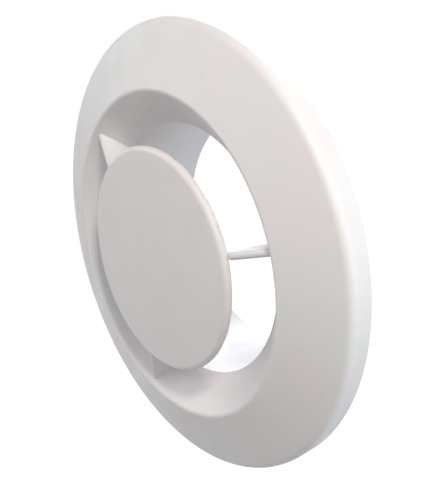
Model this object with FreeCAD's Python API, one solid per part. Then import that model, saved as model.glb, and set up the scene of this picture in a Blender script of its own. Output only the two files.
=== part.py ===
# Round air valve for a wall or a ceiling, for a 100 mm duct.
#
# A wide dished flange leads through a funnel into a round sleeve that plugs into the duct.
# A round disc stands in the mouth of the funnel. It is carried by a coarse screw in a hub,
# and the hub is held by three arms. Turning the disc moves it out of the mouth.
#
# The origin is on the valve's axis, in the plane of the wall. The room is on the -Y side and
# the duct on the +Y side, and +Z is up. A place is given as a radius from the axis and a
# "front", its distance in front of the wall. Lengths are in millimetres, angles in degrees.

import FreeCAD, Part
import math
import os

# Duct and sleeve
duct_bore = 100.0
duct_clearance = 0.7
sleeve_wall = 2.0
spigot_length = 34.1
spigot_chamfer = 0.8
plate_thickness = 2.2
mouth_rise = 0.5
throat_step = 0.2

# Fixing screws of the sleeve
screw_circle_radius = 64.0
screw_hole_radius = 2.25
screw_head_radius = 4.0
screw_countersink = 1.2
screw_edge_margin = 6.0
screw_count = 3

# Flange and funnel
flange_radius = 82.5
rim_height = 7.85
lip_radius = 59.4
lip_height = 15.15
wall = 2.2
rim_round = 3.2
lip_round = 1.5

# Disc
disc_radius = 41.15
disc_front = 18.8
disc_edge = 3.4
disc_plate = 2.1
disc_crown = 0.5
rim_land = 3.5
boss_radius = 8.0
boss_height = 5.6
disc_rib_count = 6
disc_rib_thickness = 1.6
disc_rib_setback = 0.5

# Arms and hub
arm_count = 3
arm_first_angle = 19.0
arm_thickness = 2.5
arm_nose_round = 1.2
arm_web_thickness = 1.6
arm_setback = 1.8
arm_root_depth = 0.9
arm_seat_height = 1.45
arm_tip_depth = 2.6
arm_bend_radius = 33.0
arm_bend_depth = 3.5
arm_heel = 0.5
hub_radius = 9.0
hub_length = 7.5

# Screw drive of the disc
spindle_radius = 5.0
thread_pitch = 3.0
turns_open = 2.5
pilot_across_flats = 7.0
pilot_length = 4.0
neck_radius = 4.0
neck_tail = 0.8
groove_radius = 3.2
lock_ring_radius = 10.0
lock_ring_thickness = 3.5
lock_ring_flutes = 12
lock_ring_flute_radius = 1.5
washer_radius = 7.0
washer_thickness = 0.8
clip_radius = 6.0
clip_thickness = 0.7
clip_mouth = 4.4

# Twist lock between the body and the sleeve
lock_count = 3
lock_first_angle = 49.0
lock_sweep = 15.0
tab_front = 6.2
tab_thickness = 1.8
hook_wall = 1.8
hook_overlap = 2.4
hook_thickness = 1.9
stop_sweep = 2.0

# Ribs behind the flange
flange_rib_count = 6
flange_rib_first_angle = 19.0
flange_rib_thickness = 1.4
flange_rib_back = 5.0

# Clearances
seat_gap = 0.3
running_gap = 0.05
socket_gap = 0.1
washer_gap = 0.2
end_play = 0.1
lock_gap = 0.3

# Sleeve sizes that follow from the duct
spigot_radius = duct_bore / 2 - duct_clearance
sleeve_bore_radius = spigot_radius - sleeve_wall
sleeve_plate_radius = screw_circle_radius + screw_edge_margin
seat_front = plate_thickness + mouth_rise
throat_radius = sleeve_bore_radius + throat_step

# Slope of the funnel, as radius gained for each unit of front, and its wall measured along a radius
funnel_slope = (lip_radius - throat_radius) / (lip_height - seat_front)
funnel_wall_across = wall * math.hypot(1, funnel_slope)

# Twist lock, with the ledge of each hook just clear of the funnel
ledge_back = tab_front + tab_thickness + lock_gap
ledge_front = ledge_back + hook_thickness
hook_inner = throat_radius + (ledge_front - seat_front) * funnel_slope + funnel_wall_across + lock_gap
tab_radius = hook_inner + hook_overlap

# Disc sizes
disc_round = disc_edge / 2
disc_round_centre = disc_radius - disc_round
disc_middle = disc_front - disc_round
disc_back = disc_front - disc_edge
rim_inner_radius = disc_round_centre - rim_land
plate_back = disc_front - disc_plate
boss_back = plate_back - boss_height
rib_back_at_boss = boss_back + disc_rib_setback

# Places along the screw drive, each set by its neighbour
hub_front = boss_back - seat_gap
hub_back = hub_front - hub_length
lock_ring_back = hub_back - lock_ring_thickness
travel = turns_open * thread_pitch
washer_front = lock_ring_back - travel - end_play
thread_back = washer_front + end_play
clip_front = washer_front - washer_thickness - end_play
clip_back = clip_front - clip_thickness
spindle_back = clip_back - end_play - neck_tail

ORIGIN = FreeCAD.Vector(0, 0, 0)
AXIS = FreeCAD.Vector(0, 1, 0)
FULL_TURN = 360.0


def at(radius, front):
    """Point of a profile, in the half plane through the axis and +X."""
    return FreeCAD.Vector(radius, -front, 0)


def funnel_radius(front):
    """Radius of the funnel's air side at a front."""
    return throat_radius + (front - seat_front) * funnel_slope


def rounded_path(corners):
    """Edges of an open path through (radius, front, round) corners, each corner rounded by its arc."""
    points = [at(radius, front) for radius, front, _ in corners]
    edges = []
    start = points[0]
    for before, corner, after, (_, _, bend) in zip(points, points[1:], points[2:], corners[1:]):
        if bend:
            back = (before - corner).normalize()
            ahead = (after - corner).normalize()
            half_angle = back.getAngle(ahead) / 2
            reach = bend / math.tan(half_angle)
            centre = corner + (back + ahead).normalize() * (bend / math.sin(half_angle))
            middle = centre + (corner - centre).normalize() * bend
            finish = corner + ahead * reach
            edges.append(Part.makeLine(start, corner + back * reach))
            edges.append(Part.Arc(corner + back * reach, middle, finish).toShape())
            start = finish
        else:
            edges.append(Part.makeLine(start, corner))
            start = corner
    edges.append(Part.makeLine(start, points[-1]))
    return edges


def outline(corners):
    """Flat face inside a closed path of (radius, front, round) corners. The first corner stays sharp."""
    return Part.Face(Part.Wire(rounded_path(corners + corners[:1])))


def sharp(*places):
    """Corners with no rounding, for outline()."""
    return [(radius, front, 0) for radius, front in places]


def spun(face, start=0.0, sweep=FULL_TURN):
    """Solid swept by a profile about the axis, from a start angle. Angles run from +X towards +Z."""
    solid = face.revolve(ORIGIN, AXIS, -sweep)
    return turned(solid, start)


def turned(shape, angle):
    """Copy of a shape turned about the axis."""
    copy = shape.copy()
    copy.rotate(ORIGIN, AXIS, -angle)
    return copy


def ring(inner, outer, back, front, start=0.0, sweep=FULL_TURN):
    """Ring, or a sector of one, with a rectangular section."""
    face = outline(sharp((inner, back), (outer, back), (outer, front), (inner, front)))
    return spun(face, start, sweep)


def rod(radius, back, front):
    """Round bar on the axis."""
    return Part.makeCylinder(radius, front - back, at(0, front), AXIS)


def upright(face, thickness):
    """Plate of a thickness whose middle plane holds the profile."""
    plate = face.extrude(FreeCAD.Vector(0, 0, thickness))
    plate.translate(FreeCAD.Vector(0, 0, -thickness / 2))
    return plate


def spread(shape, count, first_angle=0.0):
    """Copies of a shape at equal angles round the axis."""
    return [turned(shape, first_angle + FULL_TURN * index / count) for index in range(count)]


def joined(base, pieces):
    """One solid made of a base and the pieces that grow out of it."""
    return base.fuse(pieces).removeSplitter()


def flange_path():
    """The body's visible surface, from the rim's foot over the lip and down the funnel."""
    return rounded_path([
        (flange_radius, 0, 0),
        (flange_radius, rim_height, rim_round),
        (lip_radius, lip_height, lip_round),
        (funnel_radius(0), 0, 0),
    ])


def flange_shell():
    """Dished flange and funnel as one wall of even thickness, cut flat where it seats on the sleeve."""
    wall_face = Part.Wire(flange_path()).makeOffset2D(wall, 0, True, True)
    below_seat = ring(0, flange_radius - 2 * wall, -wall, seat_front)
    return spun(wall_face).cut(below_seat)


def flange_envelope():
    """Space between the visible surface and the wall plane, to trim what grows behind the flange."""
    closing = Part.makeLine(at(funnel_radius(0), 0), at(flange_radius, 0))
    return spun(Part.Face(Part.Wire(flange_path() + [closing])))


def disc_sweep():
    """Space that the turning disc needs, with its gap, open towards the room."""
    rib_reach = rim_inner_radius
    open_front = disc_front + disc_edge
    return spun(outline([
        (0, boss_back - seat_gap, 0),
        (boss_radius + seat_gap, boss_back - seat_gap, 0),
        (boss_radius + seat_gap, rib_back_at_boss - seat_gap, 0),
        (rib_reach, disc_back - seat_gap, 0),
        (disc_radius + seat_gap, disc_back - seat_gap, disc_round + seat_gap),
        (disc_radius + seat_gap, open_front, 0),
        (0, open_front, 0),
    ]))


def arm():
    """Thick gusset that grows out of the funnel beside the disc, and a thinner web from it to the hub."""
    wall_front = lip_height - arm_setback
    wall_radius = funnel_radius(wall_front)
    edge_slope = (disc_back + arm_seat_height - wall_front) / (wall_radius - disc_radius)
    root_radius = wall_radius + arm_root_depth
    root_front = wall_front - arm_root_depth * edge_slope
    end_radius = disc_radius + seat_gap + running_gap
    end_front = wall_front + (wall_radius - end_radius) * edge_slope
    web_front = disc_back - seat_gap
    web_back = web_front - arm_tip_depth
    gusset = upright(outline(sharp(
        (root_radius, root_front), (end_radius, end_front), (end_radius, web_back),
        (throat_radius + arm_root_depth, seat_front),
    )), arm_thickness)
    nose = [edge for edge in gusset.Edges if on_nose(edge, end_radius, root_radius)]

    rib_slope = (disc_back - rib_back_at_boss) / (rim_inner_radius - boss_radius)
    bend_front = web_front - (rim_inner_radius - arm_bend_radius) * rib_slope - arm_bend_depth
    web_root = end_radius + arm_nose_round
    web = upright(outline([
        (web_root, web_front, 0),
        (0, web_front, 0),
        (0, hub_back + arm_heel, 0),
        (hub_radius, hub_back + arm_heel, 0),
        (arm_bend_radius, bend_front, arm_bend_radius / 2),
        (disc_radius, web_back, arm_tip_depth),
        (web_root, web_back, 0),
    ]), arm_web_thickness)
    return gusset.makeFillet(arm_nose_round, nose).fuse(web)


def on_nose(edge, end_radius, root_radius):
    """Whether an edge of the gusset runs along its sloping front or down its inner end, on either side."""
    ends = [vertex.Point for vertex in edge.Vertexes]
    along_end = all(abs(end.x - end_radius) < running_gap for end in ends)
    along_front = {round(end.x, 3) for end in ends} == {round(end_radius, 3), round(root_radius, 3)}
    return (along_end or along_front) and abs(ends[0].z - ends[-1].z) < running_gap


def valve_body():
    """Flange, funnel, arms, threaded hub, twist-lock tabs and back ribs, moulded in one."""
    arms = [piece.cut(disc_sweep()) for piece in spread(arm(), arm_count, arm_first_angle)]
    hub = rod(hub_radius, hub_back, hub_front)
    shell = joined(flange_shell(), arms + [hub])

    envelope = flange_envelope()
    tab = ring(throat_radius, tab_radius, tab_front, tab_front + tab_thickness, -lock_sweep / 2, lock_sweep)
    rib_face = outline(sharp(
        (throat_radius, flange_rib_back), (flange_radius, flange_rib_back),
        (flange_radius, lip_height), (throat_radius, lip_height),
    ))
    rib = upright(rib_face, flange_rib_thickness)
    behind = spread(tab, lock_count, lock_first_angle)
    behind += spread(rib, flange_rib_count, flange_rib_first_angle)
    body = joined(shell, [piece.common(envelope) for piece in behind])
    return body.cut(rod(spindle_radius + running_gap, hub_back, hub_front))


def mounting_sleeve():
    """Spigot with a screw plate, and the hooks that hold the body's tabs."""
    tube = outline(sharp(
        (sleeve_bore_radius, -spigot_length),
        (spigot_radius - spigot_chamfer, -spigot_length),
        (spigot_radius, -spigot_length + spigot_chamfer),
        (spigot_radius, 0),
        (sleeve_plate_radius, 0),
        (sleeve_plate_radius, plate_thickness),
        (throat_radius + funnel_wall_across, plate_thickness),
        (throat_radius + funnel_wall_across, seat_front),
        (sleeve_bore_radius, seat_front),
    ))
    post_inner = tab_radius + lock_gap
    post_outer = post_inner + hook_wall
    start = -lock_sweep / 2 - lock_gap - stop_sweep
    sweep = lock_sweep + lock_gap + stop_sweep
    post = ring(post_inner, post_outer, 0, ledge_front, start, sweep)
    ledge = ring(hook_inner, post_outer, ledge_back, ledge_front, start, sweep)
    stop = ring(hook_inner, post_outer, 0, ledge_front, start, stop_sweep)
    window = ring(hook_inner, post_inner, 0, plate_thickness, start + stop_sweep, sweep - stop_sweep)
    hook = post.fuse([ledge, stop])
    sleeve = spun(tube).cut(spread(window, lock_count, lock_first_angle))
    sleeve = joined(sleeve, spread(hook, lock_count, lock_first_angle))

    mouth = at(screw_circle_radius, plate_thickness)
    hole = Part.makeCylinder(screw_hole_radius, plate_thickness, mouth, AXIS)
    countersink = Part.makeCone(screw_head_radius, screw_hole_radius, screw_countersink, mouth, AXIS)
    first_screw = lock_first_angle + FULL_TURN / (2 * screw_count)
    return sleeve.cut(spread(hole.fuse(countersink), screw_count, first_screw))


def hexagon(across_flats, back, front):
    """Six-sided bar on the axis."""
    sides = 6
    first_corner = Part.Vertex(at(across_flats / 2 / math.cos(math.pi / sides), front))
    corners = [vertex.Point for vertex in spread(first_corner, sides)]
    return Part.Face(Part.makePolygon(corners + corners[:1])).extrude(AXIS * (front - back))


def valve_disc():
    """Crowned disc with a rounded edge, hollow behind, with ribs and a boss for the spindle."""
    crown = Part.Arc(
        at(0, disc_front + disc_crown),
        at(disc_round_centre / 2, disc_front + disc_crown * 3 / 4),
        at(disc_round_centre, disc_front),
    )
    edge = Part.Arc(
        at(disc_round_centre, disc_front), at(disc_radius, disc_middle), at(disc_round_centre, disc_back)
    )
    underside = rounded_path(sharp(
        (disc_round_centre, disc_back), (rim_inner_radius, disc_back),
        (rim_inner_radius, plate_back), (0, plate_back), (0, disc_front + disc_crown),
    ))
    plate = spun(Part.Face(Part.Wire([crown.toShape(), edge.toShape()] + underside)))
    rib_root = disc_front - disc_plate / 2
    rib_end = rim_inner_radius + rim_land / 2
    rib_face = outline(sharp(
        (boss_radius / 2, rib_root), (rib_end, rib_root),
        (rib_end, disc_back), (rim_inner_radius, disc_back),
        (boss_radius, rib_back_at_boss), (boss_radius / 2, rib_back_at_boss),
    ))
    boss = rod(boss_radius, boss_back, rib_root)
    ribs = spread(upright(rib_face, disc_rib_thickness), disc_rib_count)
    socket = hexagon(pilot_across_flats + 2 * socket_gap, boss_back, boss_back + pilot_length + socket_gap)
    return joined(plate, [boss] + ribs).cut(socket)


def spindle():
    """Coarse screw, shown at its crest size: a hexagon for the disc, and a neck with a clip groove."""
    screw = rod(spindle_radius, thread_back, boss_back)
    pilot = hexagon(pilot_across_flats, boss_back, boss_back + pilot_length)
    neck = rod(neck_radius, spindle_back, thread_back)
    groove = ring(groove_radius, spindle_radius, clip_back - end_play / 2, clip_front + end_play / 2)
    return joined(screw, [pilot, neck]).cut(groove)


def lock_ring():
    """Fluted finger nut that clamps the spindle against the hub's back."""
    blank = ring(spindle_radius + running_gap, lock_ring_radius, lock_ring_back, hub_back)
    flute_foot = at(lock_ring_radius + lock_ring_flute_radius / 2, hub_back)
    flute = Part.makeCylinder(lock_ring_flute_radius, lock_ring_thickness, flute_foot, AXIS)
    return blank.cut(spread(flute, lock_ring_flutes))


def stop_washer():
    """Washer that meets the lock ring when the disc is fully out."""
    return ring(neck_radius + washer_gap, washer_radius, washer_front - washer_thickness, washer_front)


def retaining_clip():
    """Open clip in the groove at the spindle's end."""
    blank = ring(groove_radius + socket_gap, clip_radius, clip_back, clip_front)
    mouth = Part.makeBox(
        clip_mouth, clip_thickness, clip_radius, FreeCAD.Vector(-clip_mouth / 2, -clip_front, -clip_radius)
    )
    return blank.cut(mouth)


PIECES = {
    "valve_body": valve_body,
    "mounting_sleeve": mounting_sleeve,
    "valve_disc": valve_disc,
    "spindle": spindle,
    "lock_ring": lock_ring,
    "stop_washer": stop_washer,
    "retaining_clip": retaining_clip,
}


def main():
    """Builds each piece and writes it to parts/NODE.step."""
    os.makedirs("parts", exist_ok=True)
    for name, build in PIECES.items():
        shape = build()
        shape.exportStep("parts/" + name + ".step")
        print(name, len(shape.Solids), "solid", shape.isValid(), round(shape.Volume), "mm3")


main()
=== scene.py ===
"""Looks of a round air valve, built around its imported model.

The moulded pieces and the small metal ones keep their solids and get their finishes here. The
spindle gets its coarse thread here. Lengths are metres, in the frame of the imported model: +Y runs
along the valve's axis into the duct, -Y out into the room, and +Z is up.
"""

from __future__ import annotations

import logging
import math
from collections.abc import Callable
from dataclasses import dataclass, field
from enum import Enum

import bpy
from mathutils import Matrix, Vector

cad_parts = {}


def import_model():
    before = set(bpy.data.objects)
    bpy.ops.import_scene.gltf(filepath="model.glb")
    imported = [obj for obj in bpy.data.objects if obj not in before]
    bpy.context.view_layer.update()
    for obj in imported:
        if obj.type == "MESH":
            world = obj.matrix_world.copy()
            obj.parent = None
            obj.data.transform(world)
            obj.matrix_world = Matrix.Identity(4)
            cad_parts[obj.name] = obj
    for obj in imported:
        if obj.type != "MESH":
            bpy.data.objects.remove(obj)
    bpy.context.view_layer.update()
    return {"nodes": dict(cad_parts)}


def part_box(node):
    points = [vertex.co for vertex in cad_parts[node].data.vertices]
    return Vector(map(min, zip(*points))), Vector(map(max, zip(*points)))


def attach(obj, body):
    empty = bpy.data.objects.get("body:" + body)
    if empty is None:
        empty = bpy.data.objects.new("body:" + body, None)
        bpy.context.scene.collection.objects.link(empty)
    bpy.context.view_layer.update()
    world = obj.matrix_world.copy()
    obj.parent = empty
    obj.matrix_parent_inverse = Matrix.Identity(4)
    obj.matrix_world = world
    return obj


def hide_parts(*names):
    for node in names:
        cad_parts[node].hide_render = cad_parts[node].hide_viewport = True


MM = 0.001
QUARTER_TURN = math.pi / 2
MERGE_REACH = 0.001 * MM
CUT_REACH = 0.0001 * MM
TOUCH = 0.01 * MM

Colour = tuple[float, float, float]
Point = tuple[float, float, float]
Range = tuple[float, float]

# Nearly all of a noise's values lie in this span.
NOISE_SPAN: Range = (0.3, 0.7)
FEW_OCTAVES = 2.0
MORE_OCTAVES = 3.0
# A speck keeps its full strength over this share of its radius.
SPECK_CORE = 0.3

WHITE: Colour = (1.0, 1.0, 1.0)
WARM: Colour = (1.0, 0.95, 0.88)
PALE: Colour = (0.92, 0.95, 1.0)
COOL: Colour = (0.84, 0.91, 1.0)
ICE: Colour = (0.74, 0.87, 1.0)

LOG = logging.getLogger("air_valve")


class Body(Enum):
    """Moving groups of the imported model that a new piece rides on."""

    DISC = "disc"


class Slot(Enum):
    """Material slots of the record."""

    WHITE_PLASTIC = "white_plastic"
    NYLON = "nylon"
    STEEL = "steel"


class Node(Enum):
    """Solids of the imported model."""

    VALVE_BODY = "valve_body"
    MOUNTING_SLEEVE = "mounting_sleeve"
    VALVE_DISC = "valve_disc"
    SPINDLE = "spindle"
    LOCK_RING = "lock_ring"
    STOP_WASHER = "stop_washer"
    RETAINING_CLIP = "retaining_clip"


class ShaderSheet:
    """Node tree of one material, with short calls to lay out and join its nodes."""

    def __init__(self, name: str) -> None:
        """Starts a material that holds a Principled shader and its output.

        Args:
            name: The material's name.
        """
        self.material = bpy.data.materials.new(name)
        self.material.use_nodes = True
        self.tree = self.material.node_tree
        self.shader = self.tree.nodes["Principled BSDF"]
        self.place = self.add("ShaderNodeTexCoord").outputs["Object"]

    def add(self, kind: str, **settings: object) -> bpy.types.Node:
        """Adds a node.

        Args:
            kind: The node's Blender type.
            **settings: Properties of the node, by name.

        Returns:
            The new node.
        """
        node = self.tree.nodes.new(kind)
        for name, value in settings.items():
            setattr(node, name, value)
        return node

    def feed(self, node: bpy.types.Node, **values: object) -> bpy.types.Node:
        """Sets a node's inputs to numbers, or joins them to other nodes' outputs.

        Args:
            node: The node to feed.
            **values: Sockets to join or values to set, by the input's name with spaces as underscores.

        Returns:
            The same node.
        """
        for name, value in values.items():
            socket = node.inputs[name.replace("_", " ")]
            if isinstance(value, bpy.types.NodeSocket):
                self.tree.links.new(value, socket)
            else:
                socket.default_value = value
        return node

    def noise(
        self, scale: float, detail: float, place: bpy.types.NodeSocket | None = None
    ) -> bpy.types.NodeSocket:
        """Lays a noise texture over the piece.

        Args:
            scale: Features to the metre.
            detail: Octaves of finer noise.
            place: Coordinates to read, or None for the piece's own.

        Returns:
            The noise's value, from 0 to 1 about a middle of a half.
        """
        node = self.feed(
            self.add("ShaderNodeTexNoise"), Vector=place or self.place, Scale=scale, Detail=detail
        )
        return node.outputs["Fac"]

    def ranged(self, value: bpy.types.NodeSocket, inside: Range, to: Range) -> bpy.types.NodeSocket:
        """Maps a value's range to another.

        Args:
            value: The value to map.
            inside: The range that it is read over.
            to: The range that it becomes.

        Returns:
            The mapped value, held within its range.
        """
        node = self.add("ShaderNodeMapRange", interpolation_type="SMOOTHSTEP")
        self.feed(node, Value=value, From_Min=inside[0], From_Max=inside[1], To_Min=to[0], To_Max=to[1])
        return node.outputs["Result"]

    def blended(self, share: bpy.types.NodeSocket, first: object, second: object) -> bpy.types.NodeSocket:
        """Blends two colours.

        Args:
            share: How much of the second colour shows, from 0 to 1.
            first: A colour or a colour socket.
            second: A colour or a colour socket.

        Returns:
            The blended colour.
        """
        node = self.add("ShaderNodeMix", data_type="RGBA")
        colour_inputs = [socket for socket in node.inputs if socket.type == "RGBA"]
        self.tree.links.new(share, node.inputs["Factor"])
        for socket, colour in zip(colour_inputs, (first, second)):
            if isinstance(colour, bpy.types.NodeSocket):
                self.tree.links.new(colour, socket)
            else:
                socket.default_value = (*colour, 1.0)
        return next(socket for socket in node.outputs if socket.type == "RGBA")

    def spot(self, centre: Point, radius: float, strength: float) -> bpy.types.NodeSocket:
        """Marks a small round place on the piece.

        Args:
            centre: The mark's middle, in the frame of the model.
            radius: Where the mark has faded out.
            strength: The mark's value at its middle.

        Returns:
            The strength at the middle, falling to 0 at the radius.
        """
        distance = self.add("ShaderNodeVectorMath", operation="DISTANCE")
        self.tree.links.new(self.place, distance.inputs[0])
        distance.inputs[1].default_value = centre
        core = SPECK_CORE * radius
        return self.ranged(distance.outputs["Value"], (core, radius), (strength, 0.0))

    def bumped(self, height: bpy.types.NodeSocket, depth: float, strength: float) -> None:
        """Raises the surface by a height.

        Args:
            height: The height, from 0 to 1.
            depth: How deep a height of 1 is.
            strength: Share of the bump that shows.
        """
        node = self.feed(self.add("ShaderNodeBump"), Height=height, Distance=depth, Strength=strength)
        self.feed(self.shader, Normal=node.outputs["Normal"])


@dataclass(frozen=True)
class Speck:
    """Tiny dark mark in or on the plastic."""

    centre: Point
    radius: float
    strength: float


@dataclass(frozen=True)
class MouldedPlastic:
    """Semi-matte moulded plastic with a slow drift of tone, fine orange peel and a few specks."""

    name: str
    colour: Colour
    drift_colour: Colour
    speck_colour: Colour
    roughness: Range = (0.40, 0.52)
    drift_scale: float = 42.0
    gloss_scale: float = 126.0
    peel_scale: float = 900.0
    peel_depth: float = 0.02 * MM
    peel_strength: float = 0.5
    specks: tuple[Speck, ...] = ()

    def material(self) -> bpy.types.Material:
        """Makes the material.

        Returns:
            The new material.
        """
        sheet = ShaderSheet(self.name)
        drift = sheet.ranged(sheet.noise(self.drift_scale, FEW_OCTAVES), NOISE_SPAN, (0.0, 1.0))
        colour = sheet.blended(drift, self.colour, self.drift_colour)
        for speck in self.specks:
            mark = sheet.spot(speck.centre, speck.radius, speck.strength)
            colour = sheet.blended(mark, colour, self.speck_colour)
        gloss = sheet.ranged(sheet.noise(self.gloss_scale, MORE_OCTAVES), NOISE_SPAN, self.roughness)
        sheet.feed(sheet.shader, Base_Color=colour, Roughness=gloss)
        sheet.bumped(sheet.noise(self.peel_scale, FEW_OCTAVES), self.peel_depth, self.peel_strength)
        return sheet.material


@dataclass(frozen=True)
class Nylon:
    """Natural nylon: warm, dull and a little cloudy, with the marks of its mould's machining."""

    name: str
    colour: Colour
    cloud_colour: Colour
    cloud_scale: float = 160.0
    gloss_scale: float = 320.0
    roughness: Range = (0.50, 0.62)
    grain_scale: float = 2500.0
    grain_depth: float = 0.015 * MM
    grain_strength: float = 0.6

    def material(self) -> bpy.types.Material:
        """Makes the material.

        Returns:
            The new material.
        """
        sheet = ShaderSheet(self.name)
        cloud = sheet.ranged(sheet.noise(self.cloud_scale, MORE_OCTAVES), NOISE_SPAN, (0.0, 1.0))
        gloss = sheet.ranged(sheet.noise(self.gloss_scale, FEW_OCTAVES), NOISE_SPAN, self.roughness)
        colour = sheet.blended(cloud, self.colour, self.cloud_colour)
        sheet.feed(sheet.shader, Base_Color=colour, Roughness=gloss)
        sheet.bumped(sheet.noise(self.grain_scale, FEW_OCTAVES), self.grain_depth, self.grain_strength)
        return sheet.material


@dataclass(frozen=True)
class SpringSteel:
    """Stamped steel strip, with fine scratches round the axis and a faint drift from blue to warm."""

    name: str
    colour: Colour
    worn_colour: Colour
    wear_scale: float = 400.0
    scratch_scale: float = 9000.0
    roughness: Range = (0.26, 0.44)
    scratch_depth: float = 0.004 * MM
    scratch_strength: float = 0.5

    def material(self) -> bpy.types.Material:
        """Makes the material.

        Returns:
            The new material.
        """
        sheet = ShaderSheet(self.name)
        parts = sheet.feed(sheet.add("ShaderNodeSeparateXYZ"), Vector=sheet.place)
        flat = sheet.feed(sheet.add("ShaderNodeCombineXYZ"), X=parts.outputs["X"], Y=parts.outputs["Z"])
        radius = sheet.add("ShaderNodeVectorMath", operation="LENGTH")
        sheet.tree.links.new(flat.outputs["Vector"], radius.inputs[0])
        rings = sheet.feed(
            sheet.add("ShaderNodeCombineXYZ"), X=radius.outputs["Value"], Y=parts.outputs["Y"]
        )
        scratches = sheet.noise(self.scratch_scale, MORE_OCTAVES, rings.outputs["Vector"])
        wear = sheet.noise(self.wear_scale, FEW_OCTAVES)
        colour = sheet.blended(wear, self.colour, self.worn_colour)
        gloss = sheet.ranged(scratches, NOISE_SPAN, self.roughness)
        sheet.feed(sheet.shader, Base_Color=colour, Roughness=gloss, Metallic=1.0)
        sheet.bumped(scratches, self.scratch_depth, self.scratch_strength)
        return sheet.material


def deselect_all() -> None:
    """Leaves edit mode and deselects every object."""
    if bpy.context.object is not None and bpy.context.object.mode != "OBJECT":
        bpy.ops.object.mode_set(mode="OBJECT")
    bpy.ops.object.select_all(action="DESELECT")


def make_active(piece: bpy.types.Object) -> None:
    """Selects one piece alone and makes it the active one.

    Args:
        piece: The piece to select.
    """
    deselect_all()
    piece.select_set(True)
    bpy.context.view_layer.objects.active = piece


def edit_all(piece: bpy.types.Object) -> None:
    """Enters edit mode with everything selected.

    Args:
        piece: The mesh piece.
    """
    make_active(piece)
    bpy.ops.object.mode_set(mode="EDIT")
    bpy.ops.mesh.select_all(action="SELECT")


def select_faces(piece: bpy.types.Object, wanted: Callable[[Vector], bool]) -> None:
    """Enters edit mode with only some faces selected.

    Args:
        piece: The mesh piece.
        wanted: Tells from a face's centre whether it is selected.
    """
    make_active(piece)
    bpy.ops.object.mode_set(mode="EDIT")
    bpy.ops.mesh.select_mode(type="FACE")
    bpy.ops.mesh.select_all(action="DESELECT")
    bpy.ops.object.mode_set(mode="OBJECT")
    for face in piece.data.polygons:
        face.select = wanted(piece.matrix_world @ face.center)
    bpy.ops.object.mode_set(mode="EDIT")


def apply_modifier(piece: bpy.types.Object, kind: str, **settings: object) -> None:
    """Adds a modifier to a piece and applies it.

    Args:
        piece: The mesh piece.
        kind: The modifier's Blender type.
        **settings: Properties of the modifier, by name.
    """
    make_active(piece)
    modifier = piece.modifiers.new(kind.lower(), kind)
    for name, value in settings.items():
        setattr(modifier, name, value)
    bpy.ops.object.modifier_apply(modifier=modifier.name)


def settle(piece: bpy.types.Object) -> None:
    """Merges doubles, turns the faces outwards and moves the piece's place into its mesh.

    Args:
        piece: The mesh piece.
    """
    make_active(piece)
    bpy.ops.object.transform_apply(location=True, rotation=True, scale=True)
    edit_all(piece)
    bpy.ops.mesh.remove_doubles(threshold=MERGE_REACH)
    bpy.ops.mesh.normals_make_consistent(inside=False)
    bpy.ops.object.mode_set(mode="OBJECT")


def dress(piece: bpy.types.Object, material: bpy.types.Material) -> None:
    """Puts one material on every face of a piece.

    Args:
        piece: The mesh piece or solid.
        material: The material that it gets.
    """
    if not piece.data.materials:
        piece.data.materials.append(material)
    for index in range(len(piece.data.materials)):
        piece.data.materials[index] = material


def round_bar(name: str, radius: float, back: float, front: float, sides: int) -> bpy.types.Object:
    """Adds a bar along the valve's axis.

    Args:
        name: The piece's name.
        radius: Radius to its corners.
        back: Its end's place along +Y.
        front: Its other end's place along +Y, below the first.
        sides: Number of flat sides.

    Returns:
        The bar, still with its own place and turn.
    """
    deselect_all()
    bpy.ops.mesh.primitive_cylinder_add(
        vertices=sides, radius=radius, depth=back - front,
        location=(0, (back + front) / 2, 0), rotation=(QUARTER_TURN, 0, 0),
    )
    piece = bpy.context.object
    piece.name = name
    return piece


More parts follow.
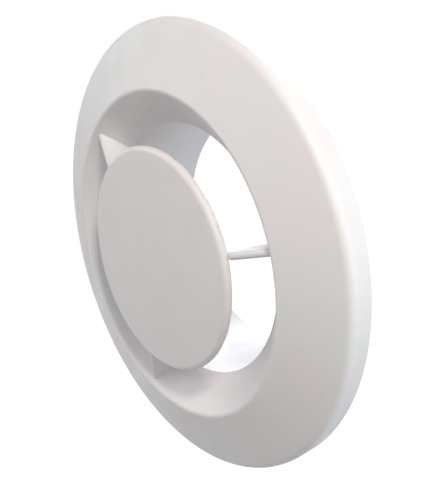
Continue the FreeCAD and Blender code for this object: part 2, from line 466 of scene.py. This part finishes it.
@dataclass
class ThreadedSpindle:
    """The disc's coarse screw: a trapezoid thread, a hexagon for the disc and a grooved neck."""

    crest_radius: float = 5.0 * MM
    root_radius: float = 4.1 * MM
    pitch: float = 3.0 * MM
    crest_share: float = 0.30
    root_share: float = 0.34
    pilot_across_flats: float = 7.0 * MM
    pilot_length: float = 4.0 * MM
    neck_radius: float = 4.0 * MM
    neck_length: float = 2.6 * MM
    groove_radius: float = 3.2 * MM
    groove_width: float = 0.8 * MM
    tail: float = 0.85 * MM
    end_bevel: float = 0.25 * MM
    bevel_steps: int = 2
    sides: int = 72
    pilot_sides: int = 6
    smooth_angle: float = math.radians(30)
    back: float = field(init=False)
    front: float = field(init=False)

    def __post_init__(self) -> None:
        """Reads the spindle's two ends from its solid."""
        low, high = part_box(Node.SPINDLE.value)
        self.back = high[1]
        self.front = low[1]

    @property
    def thread_back(self) -> float:
        """Where the thread ends and the neck begins."""
        return self.back - self.neck_length

    @property
    def thread_front(self) -> float:
        """Where the thread ends and the hexagon begins."""
        return self.front + self.pilot_length

    def build(self) -> bpy.types.Object:
        """Models the spindle.

        Returns:
            The finished piece at the origin.
        """
        piece = self.thread()
        for part in (self.neck(), self.pilot()):
            apply_modifier(piece, "BOOLEAN", operation="UNION", solver="EXACT", object=part)
            bpy.data.objects.remove(part)
        settle(piece)
        bpy.ops.object.shade_smooth_by_angle(angle=self.smooth_angle)
        piece.name = "threaded_spindle"
        return piece

    def thread(self) -> bpy.types.Object:
        """Winds one pitch of the thread's profile along the axis and cuts it flat at both ends.

        Returns:
            The closed thread.
        """
        flank = self.pitch * (1 - self.crest_share - self.root_share) / 2
        steps = [
            (self.root_radius, 0.0),
            (self.root_radius, self.root_share * self.pitch),
            (self.crest_radius, self.root_share * self.pitch + flank),
            (self.crest_radius, self.pitch - flank),
            (self.root_radius, self.pitch),
        ]
        start = self.thread_front - self.pitch
        deselect_all()
        bpy.ops.mesh.primitive_plane_add(size=self.pitch, location=(0, 0, 0))
        piece = bpy.context.object
        bpy.ops.object.mode_set(mode="EDIT")
        bpy.ops.mesh.select_all(action="SELECT")
        bpy.ops.mesh.merge(type="CENTER")
        bpy.ops.transform.translate(value=(steps[0][0], start, 0))
        for before, after in zip(steps, steps[1:]):
            bpy.ops.mesh.extrude_region_move(
                TRANSFORM_OT_translate={"value": (after[0] - before[0], after[1] - before[1], 0)}
            )
        bpy.ops.object.mode_set(mode="OBJECT")
        turns = math.ceil((self.thread_back - start) / self.pitch) + 1
        apply_modifier(
            piece, "SCREW", axis="Y", screw_offset=self.pitch, iterations=turns,
            steps=self.sides, render_steps=self.sides, use_merge_vertices=True,
            merge_threshold=MERGE_REACH, use_smooth_shade=True,
        )
        for place, outward in ((self.thread_back, 1.0), (self.thread_front, -1.0)):
            self.cut_flat(piece, place, outward)
        settle(piece)
        return piece

    def cut_flat(self, piece: bpy.types.Object, place: float, outward: float) -> None:
        """Cuts a piece square to the axis and closes the cut.

        Args:
            piece: The mesh piece.
            place: Where the cut lies along +Y.
            outward: 1 to clear away what lies towards +Y, -1 for what lies towards -Y.
        """
        edit_all(piece)
        bpy.ops.mesh.bisect(
            plane_co=(0, place, 0), plane_no=(0, outward, 0), use_fill=True,
            clear_outer=True, clear_inner=False, threshold=CUT_REACH,
        )
        bpy.ops.object.mode_set(mode="OBJECT")

    def neck(self) -> bpy.types.Object:
        """Turns the plain neck with the clip's groove and a bevelled end.

        Returns:
            The closed neck, which reaches a little into the thread.
        """
        piece = round_bar("neck", self.neck_radius, self.back, self.thread_back - self.pitch / 2, self.sides)
        for place in (self.back - self.tail, self.back - self.tail - self.groove_width):
            edit_all(piece)
            bpy.ops.mesh.bisect(plane_co=(0, place, 0), plane_no=(0, 1, 0))
        middle = self.back - self.tail - self.groove_width / 2
        select_faces(piece, lambda centre: abs(centre.y - middle) < self.groove_width / 4)
        bpy.ops.mesh.extrude_region_shrink_fatten(
            TRANSFORM_OT_shrink_fatten={"value": self.groove_radius - self.neck_radius}
        )
        select_faces(piece, lambda centre: centre.y > self.back - TOUCH)
        bpy.ops.mesh.bevel(offset=self.end_bevel, segments=self.bevel_steps, affect="EDGES")
        bpy.ops.object.mode_set(mode="OBJECT")
        settle(piece)
        return piece

    def pilot(self) -> bpy.types.Object:
        """Makes the hexagon that sits in the disc's boss.

        Returns:
            The closed hexagon, which reaches a little into the thread.
        """
        half_side = math.pi / self.pilot_sides
        corner_radius = self.pilot_across_flats / 2 / math.cos(half_side)
        back = self.thread_front + self.pitch / 2
        piece = round_bar("pilot", corner_radius, back, self.front, self.pilot_sides)
        settle(piece)
        edit_all(piece)
        bpy.ops.transform.rotate(value=half_side, orient_axis="Y", center_override=(0, 0, 0))
        bpy.ops.object.mode_set(mode="OBJECT")
        return piece


@dataclass
class AirValve:
    """The whole valve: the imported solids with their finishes, and the threaded spindle."""

    nodes: dict[str, bpy.types.Object]
    white_plastic: MouldedPlastic = MouldedPlastic(
        name=Slot.WHITE_PLASTIC.value,
        colour=(0.806, 0.755, 0.763),
        drift_colour=(0.785, 0.779, 0.769),
        speck_colour=(0.22, 0.20, 0.19),
        specks=(
            Speck(centre=(-14.36 * MM, -8.13 * MM, 50.75 * MM), radius=0.55 * MM, strength=0.6),
            Speck(centre=(74.06 * MM, -9.64 * MM, -21.24 * MM), radius=0.6 * MM, strength=0.2),
            Speck(centre=(20.82 * MM, -12.44 * MM, 65.25 * MM), radius=1.1 * MM, strength=0.08),
        ),
    )
    nylon: Nylon = Nylon(
        name=Slot.NYLON.value,
        colour=(0.755, 0.715, 0.655),
        cloud_colour=(0.715, 0.675, 0.61),
    )
    steel: SpringSteel = SpringSteel(
        name=Slot.STEEL.value,
        colour=(0.62, 0.62, 0.63),
        worn_colour=(0.56, 0.55, 0.54),
    )

    def dress_solids(self) -> None:
        """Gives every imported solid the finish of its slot."""
        finishes = {
            self.white_plastic: (Node.VALVE_BODY, Node.MOUNTING_SLEEVE, Node.VALVE_DISC),
            self.nylon: (Node.SPINDLE, Node.LOCK_RING),
            self.steel: (Node.STOP_WASHER, Node.RETAINING_CLIP),
        }
        for finish, members in finishes.items():
            material = finish.material()
            for member in members:
                dress(self.nodes[member.value], material)
                LOG.info("%s gets %s", member.value, finish.name)

    def add_spindle(self) -> bpy.types.Object:
        """Puts the threaded spindle in its solid's place.

        Returns:
            The new piece.
        """
        piece = ThreadedSpindle().build()
        dress(piece, bpy.data.materials[self.nylon.name])
        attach(piece, Body.DISC.value)
        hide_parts(Node.SPINDLE.value)
        LOG.info("%s has %d faces", piece.name, len(piece.data.polygons))
        return piece


def direction(azimuth: float, elevation: float) -> Vector:
    """Points from the valve towards a place in the studio.

    Args:
        azimuth: Degrees round +Z, from straight into the room towards +X.
        elevation: Degrees above the level.

    Returns:
        A vector one metre long.
    """
    around = math.radians(azimuth)
    above = math.radians(elevation)
    return Vector((
        math.sin(around) * math.cos(above),
        -math.cos(around) * math.cos(above),
        math.sin(above),
    ))


@dataclass(frozen=True)
class Lamp:
    """Soft square lamp that looks at the valve."""

    name: str
    azimuth: float
    elevation: float
    distance: float
    side: float
    power: float
    colour: Colour = WHITE

    def add(self) -> bpy.types.Object:
        """Hangs the lamp.

        Returns:
            The lamp's object.
        """
        light = bpy.data.lights.new(self.name, "AREA")
        light.energy = self.power
        light.size = self.side
        light.color = self.colour
        lamp = bpy.data.objects.new(self.name, light)
        towards = direction(self.azimuth, self.elevation)
        lamp.location = towards * self.distance
        lamp.rotation_euler = (-towards).to_track_quat("-Z", "Y").to_euler()
        lamp.visible_camera = False
        bpy.context.scene.collection.objects.link(lamp)
        return lamp


@dataclass(frozen=True)
class ViewPoint:
    """Camera that sees the valve as the photograph does, placed by angles about the axis."""

    azimuth: float = 50.64
    elevation: float = 21.64
    distance: float = 240.21 * MM
    right_offset: float = -10.69 * MM
    up_offset: float = 0.29 * MM
    focal_pixels: float = 640.0
    picture_height: float = 500.0
    sensor: float = 36.0
    clip_start: float = 10 * MM

    def add(self) -> bpy.types.Object:
        """Sets the camera up.

        Returns:
            The camera's object.
        """
        towards = direction(self.azimuth, self.elevation)
        right = Vector((0.0, 0.0, 1.0)).cross(towards).normalized()
        up = towards.cross(right)
        place = towards * self.distance - right * self.right_offset - up * self.up_offset
        data = bpy.data.cameras.new("camera")
        data.sensor_width = self.sensor
        data.lens = self.focal_pixels * self.sensor / self.picture_height
        data.clip_start = self.clip_start
        camera = bpy.data.objects.new("camera", data)
        turn = Matrix((right, up, towards)).transposed().to_4x4()
        camera.matrix_world = Matrix.Translation(place) @ turn
        bpy.context.scene.collection.objects.link(camera)
        bpy.context.scene.camera = camera
        return camera


@dataclass(frozen=True)
class Studio:
    """Plain pale floor, soft lamps and a bright backdrop."""

    floor_side: float = 8.0
    floor_height: float = -0.25
    floor_colour: Colour = (0.35, 0.35, 0.35)
    floor_roughness: float = 0.9
    floor_glow: Range = (0.9, 1.0)
    floor_near: Range = (0.3, 1.5)
    world_level: float = 0.05
    lamps: tuple[Lamp, ...] = (
        Lamp("key_right", azimuth=65, elevation=50, distance=0.5, side=0.08, power=1.29, colour=WARM),
        Lamp("fill_right", azimuth=60, elevation=25, distance=0.5, side=0.3, power=0.52, colour=WARM),
        Lamp("fill_front", azimuth=30, elevation=35, distance=0.5, side=0.08, power=0.26, colour=COOL),
        Lamp("room_left", azimuth=-60, elevation=20, distance=0.6, side=0.4, power=1.03, colour=PALE),
        Lamp("low_left", azimuth=-40, elevation=-10, distance=0.6, side=0.3, power=0.48, colour=WARM),
        Lamp("rim_lamp", azimuth=115, elevation=10, distance=0.75, side=0.5, power=2.3, colour=ICE),
        Lamp("duct_lamp", azimuth=-145, elevation=28, distance=0.5, side=0.3, power=2.8, colour=PALE),
    )

    def build(self) -> None:
        """Lays the floor, lights the scene and sets the camera and the plain view transform."""
        self.lay_floor()
        self.light_world()
        for lamp in self.lamps:
            lamp.add()
        ViewPoint().add()
        bpy.context.scene.view_settings.view_transform = "Standard"

    def lay_floor(self) -> None:
        """Lays a wide floor that the camera sees as white, and that keeps shadows."""
        deselect_all()
        bpy.ops.mesh.primitive_plane_add(size=self.floor_side, location=(0, 0, self.floor_height))
        floor = bpy.context.object
        floor.name = "floor"
        sheet = ShaderSheet("floor")
        sheet.feed(sheet.shader, Roughness=self.floor_roughness, Base_Color=(*self.floor_colour, 1.0))
        distance = sheet.add("ShaderNodeVectorMath", operation="LENGTH")
        sheet.tree.links.new(sheet.place, distance.inputs[0])
        glow = sheet.add("ShaderNodeMath", operation="MULTIPLY")
        sheet.tree.links.new(self.seen_directly(sheet.tree), glow.inputs[0])
        sheet.tree.links.new(
            sheet.ranged(distance.outputs["Value"], self.floor_near, self.floor_glow), glow.inputs[1]
        )
        sheet.feed(sheet.shader, Emission_Color=(*WHITE, 1.0), Emission_Strength=glow.outputs[0])
        floor.data.materials.append(sheet.material)

    def light_world(self) -> None:
        """Lights the scene softly from all round, white where the camera or a shiny piece sees it."""
        world = bpy.data.worlds.new("studio")
        bpy.context.scene.world = world
        world.use_nodes = True
        tree = world.node_tree
        background = tree.nodes["Background"]
        background.inputs["Color"].default_value = (*WHITE, 1.0)
        level = tree.nodes.new("ShaderNodeMapRange")
        level.inputs["To Min"].default_value = self.world_level
        level.inputs["To Max"].default_value = 1.0
        tree.links.new(self.seen_directly(tree), level.inputs["Value"])
        tree.links.new(level.outputs["Result"], background.inputs["Strength"])

    @staticmethod
    def seen_directly(tree: bpy.types.NodeTree) -> bpy.types.NodeSocket:
        """Tells rays of the camera, of gloss and through glass from those that light the scene.

        Args:
            tree: The node tree to work in.

        Returns:
            A value of 1 for the rays that see, and 0 for the others.
        """
        path = tree.nodes.new("ShaderNodeLightPath")
        total = path.outputs["Is Camera Ray"]
        for name in ("Is Glossy Ray", "Is Transmission Ray"):
            either = tree.nodes.new("ShaderNodeMath")
            either.operation = "MAXIMUM"
            tree.links.new(total, either.inputs[0])
            tree.links.new(path.outputs[name], either.inputs[1])
            total = either.outputs["Value"]
        return total


def main() -> None:
    """Builds the looks in order and reports each piece."""
    logging.basicConfig(level=logging.INFO, format="%(name)s: %(message)s")
    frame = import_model()
    valve = AirValve(nodes=frame["nodes"])
    valve.dress_solids()
    valve.add_spindle()
    Studio().build()


if __name__ == "__main__":
    main()
